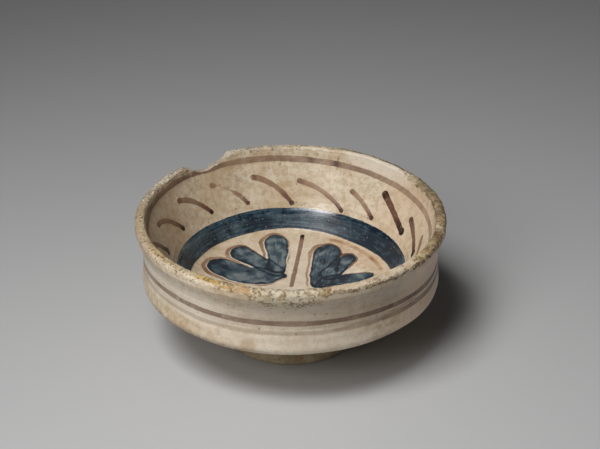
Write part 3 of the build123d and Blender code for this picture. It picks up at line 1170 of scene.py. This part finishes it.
# %% Strokes: places and weights
strokes = [
    (195.0, 0.83, 0.26, 14.5, 0.9, 1.0),
    (172.0, 0.71, 0.20, 16.8, 0.95, 1.0),
    (149.2, 0.72, 0.17, 15.8, 0.7, 1.0),
    (128.5, 0.73, 0.13, 16.0, 0.65, 0.9),
    (107.8, 0.71, 0.03, 18.0, 0.65, 1.0),
    (86.3, 0.60, 0.00, 23.2, 0.6, 0.9),
    (60.0, 0.58, 0.07, 15.0, 0.2, 0.9),
    (42.4, 0.83, 0.25, 20.7, -0.35, 1.2),
    (19.7, 0.72, 0.29, 21.2, -0.3, 1.0),
    (2.0, 0.80, 0.20, 20.0, 0.0, 0.9),
    (-22.0, 0.84, 0.13, 20.0, 0.5, 1.0),
    (-46.0, 0.84, 0.14, 19.0, 0.6, 1.0),
    (-69.0, 0.78, 0.14, 20.0, 0.6, 1.0),
    (-93.0, 0.78, 0.13, 18.0, 0.7, 1.0),
    (-117.0, 0.70, 0.12, 20.0, 0.7, 1.0),
    (-141.0, 0.71, 0.13, 19.0, 0.8, 1.0),
]
paler_or_darker = {1: 0.16, 3: -0.04, 4: -0.28, 5: -0.10, 6: -0.14, 7: -0.16, 8: 0.26, 9: 0.14}
worn_away = {4: (0.13, 0.50), 10: (-0.30, -0.08)}
not_worn = (-9, -8)
heavier = {1: 0.35 * mm, 8: 0.18 * mm, 9: 0.22 * mm, 10: 0.15 * mm}
print(len(strokes), "strokes")

# %% [markdown]
# A grid is bent along the path of the stroke on the plan, square to it all the way, then dropped straight
# down onto the wall. The wall leans, so a step up it shows shorter on the plan. Each stroke ends in a
# bead where the brush was lifted.

# %% Strokes: bent and dropped onto the wall
head_width = 2.4 * mm
tail_width = 1.9 * mm
bead_radius = 1.2 * mm
paint_gap = 0.1 * mm
stroke_margin = 1.2 * mm
stroke_overrun = 2.4 * mm
mean_wall_radius = 58 * mm
wall_lean = (collar[0] - floor_edge_radius) / (collar[1] - floor_edge_height)
plan_share = wall_lean / np.hypot(1, wall_lean)


def grid_patch(name, columns, rows):
    bpy.ops.mesh.primitive_grid_add(x_subdivisions=columns, y_subdivisions=rows, size=2)
    return named(name)


def stroke(number, azimuth, head, tail, sweep, bend, weight):
    frieze_low = band_top + bead_radius + paint_gap
    frieze_top = rim_line_height - rim_line_rise * cos(radians(azimuth))
    frieze_top -= (rim_line_width + head_width) / 2 + paint_gap
    frieze = frieze_top - frieze_low
    piece = grid_patch(f"stroke_{number:02d}", 64, 20)
    flat = points_of(piece)
    overrun = stroke_overrun / (radians(sweep) * mean_wall_radius)
    share = (flat[:, 0] + 1) / 2 * (1 + 2 * overrun) - overrun
    on_path = np.clip(share, 0, 1)
    half_width = weight * (head_width + (tail_width - head_width) * on_path) / 2
    side = flat[:, 1] * (half_width + stroke_margin)
    level = head + (tail - head) * ((1 - bend) * on_path + bend * on_path**2)
    fall = (tail - head) * (1 - bend + 2 * bend * on_path) * frieze * wall_lean / plan_share
    radius = floor_edge_radius + wall_lean * (frieze_low + level * frieze - floor_edge_height)
    slant = np.arctan2(fall, radians(sweep) * radius)
    length = np.hypot(fall, radians(sweep) * radius)
    ahead = (share - on_path) * length
    right = ahead * np.cos(slant) - side * np.sin(slant)
    up = ahead * np.sin(slant) + side * np.cos(slant)
    angle = np.radians(azimuth - sweep * on_path) - right / radius
    radius = radius + plan_share * up
    above = np.full(len(flat), bowl_height)
    points = np.column_stack([radius * np.cos(angle), radius * np.sin(angle), above])
    move_points(piece, points)
    bead = np.hypot(side, (share - 1) * length) - weight * bead_radius - heavier.get(number, 0)
    distance = np.minimum(np.hypot(side, ahead) - half_width, bead)
    load = 0.42 + 0.35 * smooth_step(share, 0.55, 1.0) + 0.20 * smooth_step(share, 0.15, 0.0)
    load = load + 0.20 * smooth_step(bead, 0.4 * mm, -0.6 * mm) + paler_or_darker.get(number, 0)
    worn_start, worn_end = worn_away.get(number, not_worn)
    worn = smooth_step(share, worn_start - 0.06, worn_start + 0.06)
    worn = worn * smooth_step(share, worn_end + 0.2, worn_end)
    load = load - 0.3 * worn
    distance = distance + 1.05 * mm * worn - 0.15 * mm - heavier.get(number, 0)
    distance = distance + 0.22 * mm * unevenness(points, 4 * mm)
    wrap(piece, inner_glaze, straight_down=True)
    thicken(piece, distance, load, share * length, side, 0.10 * mm)
    finish_piece(piece, f"slanting_stroke_{number:02d}", "brown_slip", brown_stroke)


for number, row in enumerate(strokes, start=1):
    stroke(number, *row)

# %% [markdown]
# The leaves are fans of lobes. A lobe is a chain of dabs of the brush, each with its place on the floor
# and its radius in millimetres. The front pair is hidden in the photograph, so it is the back pair turned
# over and drawn smaller.

# %% Leaves: lobes
left_lobes = [
    [(-31.9, 14.5, 7.2), (-22.0, 9.5, 7.4), (-12.0, 8.5, 6.0), (-4.2, 10.3, 2.4)],
    [(-23.0, 27.0, 5.6), (-14.0, 20.0, 4.9), (-7.0, 13.5, 4.2)],
    [(-6.9, 37.0, 5.8), (-6.4, 27.0, 4.9), (-6.5, 16.0, 4.0)],
]
right_lobes = [
    [(17.0, 28.5, 6.4), (15.0, 10.0, 6.2), (14.0, 3.5, 5.2)],
    [(26.8, 21.8, 3.9), (18.0, 10.0, 5.0)],
    [(18.0, 3.0, 5.5), (28.0, 5.0, 4.9), (35.8, 6.3, 2.6)],
]
left_tones = (0.18, 0.22, 0.16)
right_tones = (0.42, 0.34, 0.46)
front_line = -0.13 * floor_edge_radius / mm
front_share = 0.74


def turned_over(lobes):
    def turn(dab):
        x, y, radius = dab
        return (front_share * x, front_line - front_share * (y - front_line), front_share * radius)

    return [[turn(dab) for dab in lobe] for lobe in lobes]


leaves = [
    ("back_left", left_lobes, left_tones),
    ("back_right", right_lobes, right_tones),
    ("front_left", turned_over(left_lobes), left_tones),
    ("front_right", turned_over(right_lobes), right_tones),
]
print(len(leaves), "leaves with", sum(len(lobes) for _, lobes, _ in leaves), "lobes")

# %% [markdown]
# A leaf is drawn by measuring. At each point the distance to every lobe is found, with some noise so that
# no edge is smooth, and the nearest lobe wins. The place along and across that lobe goes with it, for the
# hair marks, and lobes are set apart across, so that no two show the same streaks.

# %% Leaves: distance to a lobe
lobe_spacing = 20 * mm


def lobe_distance(plan, lobe):
    # Distance to the outline of a chain of dabs, and the place along and across it.
    best = np.full(len(plan), np.inf)
    along, across = np.zeros(len(plan)), np.zeros(len(plan))
    walked = 0.0
    for (x0, y0, r0), (x1, y1, r1) in zip(lobe, lobe[1:]):
        start = np.array([x0, y0]) * mm
        run = np.array([x1, y1]) * mm - start
        length = np.linalg.norm(run)
        free_share = (plan - start) @ run / length**2
        share = np.clip(free_share, 0, 1)
        away = plan - start - share[:, None] * run
        distance = np.linalg.norm(away, axis=1) - (r0 + share * (r1 - r0)) * mm
        nearer = distance < best
        best = np.where(nearer, distance, best)
        along = np.where(nearer, walked + free_share * length, along)
        across = np.where(nearer, away @ np.array([-run[1], run[0]]) / length, across)
        walked += length
    return best, along, across


def drawn(points, lobes, shift=0.0):
    plan = points[:, :2] + np.array([shift, 0.4 * shift])
    lines = [lobe_distance(plan, lobe) for lobe in lobes]
    wander = 0.7 * mm * unevenness(points, 6 * mm) + 0.35 * mm * unevenness(points, 2.5 * mm)
    distances = np.array([line[0] for line in lines]) + wander
    first = distances.argmin(axis=0)
    pick = (first, np.arange(len(points)))
    along = np.array([line[1] for line in lines])[pick]
    across = np.array([line[2] + lobe_spacing * number for number, line in enumerate(lines)])[pick]
    return distances, along, across


centre_distance = drawn(np.zeros((1, 3)), left_lobes)[0].min()
print("middle of the floor:", round(centre_distance / mm, 1), "mm from the left leaf")

# %% [markdown]
# Each leaf is a grid over the floor, cut back to what was drawn and dropped onto the glaze. The blue is
# darkest along the edges of its lobes and at their tips. The brown line was drawn first, a little to the
# left and towards the viewer, so it stands clear of the blue there and is half covered on the other side.

# %% Leaves: blue pads and brown lines
grid_step = 0.45 * mm
leaf_room = 11 * mm
leaf_margin = 1.2 * mm
line_margin = 0.9 * mm
outline_offset = 0.55 * mm
outline_width = 1.3 * mm
outline_shift = 0.9 * mm


def floor_patch(name, low, high):
    columns, rows = [int(np.ceil((b - a) / grid_step)) for a, b in zip(low, high)]
    piece = grid_patch(name, columns, rows)
    flat = points_of(piece)
    middle = (np.array(low) + np.array(high)) / 2
    half = (np.array(high) - np.array(low)) / 2
    move_points(piece, np.column_stack([flat[:, :2] * half + middle, np.full(len(flat), bowl_height)]))
    return piece


def floor_pad(name, node, slot, material, box, margin, draw, thickness, full_depth=0.80):
    # At each point, draw gives the distance to cut back by, the painted distance, load, along and across.
    piece = floor_patch(name, *box)
    points = points_of(piece)
    outside = draw(points)[0] > margin
    with edit_mode(piece):
        bpy.ops.mesh.select_all(action="DESELECT")
    piece.data.vertices.foreach_set("select", outside)
    bpy.ops.object.mode_set(mode="EDIT")
    bpy.ops.mesh.delete(type="VERT")
    bpy.ops.object.mode_set(mode="OBJECT")
    wrap(piece, inner_glaze, straight_down=True)
    thicken(piece, *draw(points[~outside])[1:], thickness, full_depth)
    finish_piece(piece, node, slot, material)


def lobe_box(lobes):
    places = np.array([dab[:2] for lobe in lobes for dab in lobe]) * mm
    return places.min(0) - leaf_room, places.max(0) + leaf_room


def blue_leaf(lobes, tones):
    def draw(points):
        distances, along, across = drawn(points, lobes)
        nearest = distances.min(axis=0)
        load = np.array(tones)[distances.argmin(axis=0)]
        for distance in distances:
            edge = smooth_step(distance, -1.4 * mm, -0.3 * mm) * smooth_step(distance, 0.9 * mm, 0.0)
            load = load + 0.70 * edge
        load = load + 0.60 * smooth_step(along, 2 * mm, -6 * mm) + 0.6 * unevenness(points, 7 * mm)
        load = load + 0.6 * unevenness(points, 3 * mm)
        return nearest, nearest, load, along, across

    return draw


def leaf_line(lobes):
    def draw(points):
        distances, along, _ = drawn(points, lobes, outline_shift)
        tip = smooth_step(along, 9 * mm, 0)
        distance = np.abs(distances.min(axis=0) - outline_offset) - outline_width / 2 - 0.35 * mm * tip
        drift = unevenness(points, 8 * mm)
        thinned = distance + (0.10 + 0.4 * smooth_step(drift, 0.0, 0.3)) * mm * (1 - tip)
        return distance, thinned, 0.30 + 0.25 * tip - 0.5 * drift, points[:, 0], points[:, 1]

    return draw


for place, lobes, tones in leaves:
    box = lobe_box(lobes)
    floor_pad(
        f"leaf_{place}", f"{place}_leaf", "blue_slip", thick_blue,
        box, leaf_margin, blue_leaf(lobes, tones), 0.42 * mm, full_depth=1.0,
    )
    floor_pad(
        f"leaf_line_{place}", f"{place}_leaf_line", "brown_slip", brown_leaf_line,
        box, line_margin, leaf_line(lobes), 0.06 * mm,
    )

# %% [markdown]
# Two straight strokes part the leaves. They are the same kind of pad, with the distance taken to a
# straight run from the middle of the floor nearly to the band, and are darker at the outer end, where the
# brush came to rest.

# %% Dividers
divider_azimuth = 82.7
divider_width = 2.0 * mm
divider_end = floor_edge_radius - 3.2 * mm
front_divider_start = 6.0 * mm
stroke_room = 3 * mm
divider_margin = 1.2 * mm


def divider(name, node, azimuth, start):
    direction = np.array([cos(radians(azimuth)), sin(radians(azimuth))])
    ends = np.array([direction * start, direction * divider_end])

    def draw(points):
        reach = points[:, :2] @ direction
        nearest = np.clip(reach, start + divider_width / 2, divider_end - divider_width / 2)
        gap = np.linalg.norm(points[:, :2] - nearest[:, None] * direction, axis=1)
        distance = gap - divider_width / 2 + 0.2 * mm * unevenness(points, 4 * mm)
        load = 0.44 + 0.50 * smooth_step(reach, divider_end - 5 * mm, divider_end - 1 * mm)
        return distance, distance, load, reach, points[:, :2] @ np.array([-direction[1], direction[0]])

    box = (ends.min(0) - stroke_room, ends.max(0) + stroke_room)
    floor_pad(name, node, "brown_slip", brown_stroke, box, divider_margin, draw, 0.10 * mm)


divider("divider_back", "back_divider", divider_azimuth, 0.0)
divider("divider_front", "front_divider", -divider_azimuth, front_divider_start)

# %% [markdown]
# A pale, uneven stroke follows the inside of the band on the right. Its distance is taken to an arc.

# %% Stroke along the band
band_stroke_radius = floor_edge_radius - 3.7 * mm
band_stroke_width = 1.9 * mm
band_stroke_margin = 1.0 * mm
band_stroke_span = (15.0, 64.0)


def on_arc(azimuth):
    return band_stroke_radius * np.column_stack([np.cos(np.radians(azimuth)), np.sin(np.radians(azimuth))])


def draw_arc(points):
    nearest = on_arc(np.clip(azimuth_of(points), *band_stroke_span))
    gap = np.linalg.norm(points[:, :2] - nearest, axis=1)
    distance = gap - band_stroke_width / 2 + 0.25 * mm * unevenness(points, 4 * mm)
    return distance, distance, 0.30 + 0.6 * unevenness(points, 5 * mm), points[:, 0], points[:, 1]


arc_ends = on_arc(np.array(band_stroke_span))
floor_pad(
    "stroke_by_band", "band_stroke", "brown_slip", brown_smear,
    (arc_ends.min(0) - stroke_room, arc_ends.max(0) + stroke_room), band_stroke_margin, draw_arc, 0.05 * mm,
)

# %% [markdown]
# A piece is broken out of the rim at the back left. The tool that takes it away is a block, cut into many
# faces. Its underside is shaped to the broken edge and slopes down towards the outside, and noise makes
# it rough.

# %% Bite: the block
bite_edge = np.array([
    (-17.5, -1.5), (-16.0, 0.0), (-12.5, 1.3), (-9.0, 3.4), (-4.0, 4.4),
    (1.0, 5.4), (5.5, 4.9), (9.0, 3.1), (16.0, 0.0), (17.5, -1.5),
]) * mm
bite_reach = 12 * mm
bite_top = 8 * mm
bite_slope = 0.40
bite_full_depth = 4 * mm
fracture_push = 1.5 * mm

bpy.ops.mesh.primitive_cube_add(size=1)
bite = named("bite_tool")
with edit_mode(bite):
    bpy.ops.transform.resize(value=(bite_edge[-1, 0] * 2, bite_reach * 2, 1))
    bpy.ops.mesh.subdivide(number_cuts=47)
points = points_of(bite)
bottom = -np.interp(points[:, 0], bite_edge[:, 0], bite_edge[:, 1])
bottom += bite_slope * np.minimum(points[:, 1], 0) * np.clip(-bottom / bite_full_depth, 0, 1)
points[:, 2] = bottom + (points[:, 2] + 0.5) * (bite_top - bottom)
move_points(bite, points)
bite.location = (
    lip_inner_radius * cos(radians(bite_azimuth)), lip_inner_radius * sin(radians(bite_azimuth)), bowl_height
)
bite.rotation_euler = (0, 0, radians(bite_azimuth + 90))
only(bite)
bpy.ops.object.transform_apply(location=True, rotation=True, scale=True)
push(bite, cloud("fracture_cloud", 3.0 * mm, 3, colour=True), "RGB_TO_XYZ", 0.5, fracture_push)
print("bite block", len(bite.data.polygons), "faces")

# %% [markdown]
# Subtracting the block from the clay, both coats and the rim line leaves one fracture through all of
# them. The new faces take the look of broken clay from the block, so the finishes are put on before the
# cut.

# %% Bite: the cut
bite.data.materials.append(broken_clay)
for piece in (clay, outer_glaze, inner_glaze):
    piece.data.materials.append(white_glaze)
for piece in (clay, outer_glaze, inner_glaze, rim_line):
    apply_modifier(
        piece, "BOOLEAN", object=bite, operation="DIFFERENCE", solver="MANIFOLD", material_mode="TRANSFER"
    )
    print(piece.name, len(piece.data.polygons), "faces after the bite")
bpy.data.objects.remove(bite)

# %% [markdown]
# The clay body keeps its glaze look only at the crest. Below the glaze, on the strip above the foot and
# underneath, it is bare like the foot, so those faces get the foot's finish. All the turned pieces are
# shaded smooth, apart from their true edges.

# %% Finish of the turned pieces
bare_below = foot_height + bare_cone + 0.2 * mm
clay.data.materials.append(foot_clay)
bare_index = len(clay.data.materials) - 1
for face in clay.data.polygons:
    if face.center.z < bare_below:
        face.material_index = bare_index
for piece in (clay, outer_glaze, inner_glaze, foot):
    only(piece)
    bpy.ops.object.shade_smooth_by_angle(angle=radians(45))
finish_piece(clay, "clay_body", "bare_clay")
finish_piece(outer_glaze, "outer_glaze", "white_glaze")
finish_piece(inner_glaze, "inner_glaze", "white_glaze")
finish_piece(foot, "foot_ring", "bare_clay", foot_clay)

# %% [markdown]
# The bowl stands on a plain grey floor, faintly clouded so that it doesn't look like paper. The floor
# belongs to the stage and not to the bowl.

# %% Floor
bpy.ops.mesh.primitive_plane_add(size=6)
table = named("table")
table_finish, shader = new_finish("table_finish")
clouded = cloudy(object_place(), 0.4, 2)
feed(shader.inputs["Base Color"], blend(clouded, (0.44, 0.44, 0.44), (0.47, 0.47, 0.47)))
shader.inputs["Roughness"].default_value = 0.9
table.data.materials.append(table_finish)
print("floor", table.name, table.dimensions.x, "m wide")

# %% [markdown]
# The light is soft: a narrow lamp from the upper left, a wide one from the left front, and a little light
# from all round. A lamp has a place, a point it is aimed at, a size in metres, a spread in degrees and a
# power in watts.

# %% Light


def soft_lamp(name, place, aim, size, spread, power):
    lamp = bpy.data.lights.new(name, "AREA")
    lamp.size = size
    lamp.spread = radians(spread)
    lamp.energy = power
    holder = bpy.data.objects.new(name, lamp)
    bpy.context.scene.collection.objects.link(holder)
    holder.location = place
    holder.rotation_euler = (Vector(aim) - Vector(place)).to_track_quat("-Z", "Y").to_euler()
    print(name, power, "W")


soft_lamp("key_lamp", (-0.30, -0.40, 0.95), (0, -0.15, 0.03), 0.45, 65, 1.45)
soft_lamp("fill_lamp", (-0.55, -0.90, 0.75), (0, 0, 0.03), 0.45, 180, 4.6)
world = bpy.data.worlds.new("studio")
bpy.context.scene.world = world
world.use_nodes = True
background = world.node_tree.nodes["Background"]
background.inputs["Color"].default_value = (1, 1, 1, 1)
background.inputs["Strength"].default_value = 0.04

# %% [markdown]
# The camera stands where the photograph was taken, about 29 degrees above the table. Its place and lens
# were fitted to the ellipses of the lip, the band and the foot. Colours are shown as they are, with no
# film look.

# %% Camera
lens = bpy.data.cameras.new("photo_camera")
lens.sensor_width = 36
lens.lens = 106.74
camera = bpy.data.objects.new("photo_camera", lens)
bpy.context.scene.collection.objects.link(camera)
camera.location = (0.00417, -0.69834, 0.44509)
camera.rotation_euler = (radians(60.8), 0, 0)
bpy.context.scene.camera = camera
bpy.context.scene.view_settings.view_transform = "Standard"
print("camera", round(camera.location.length, 3), "m from the foot")
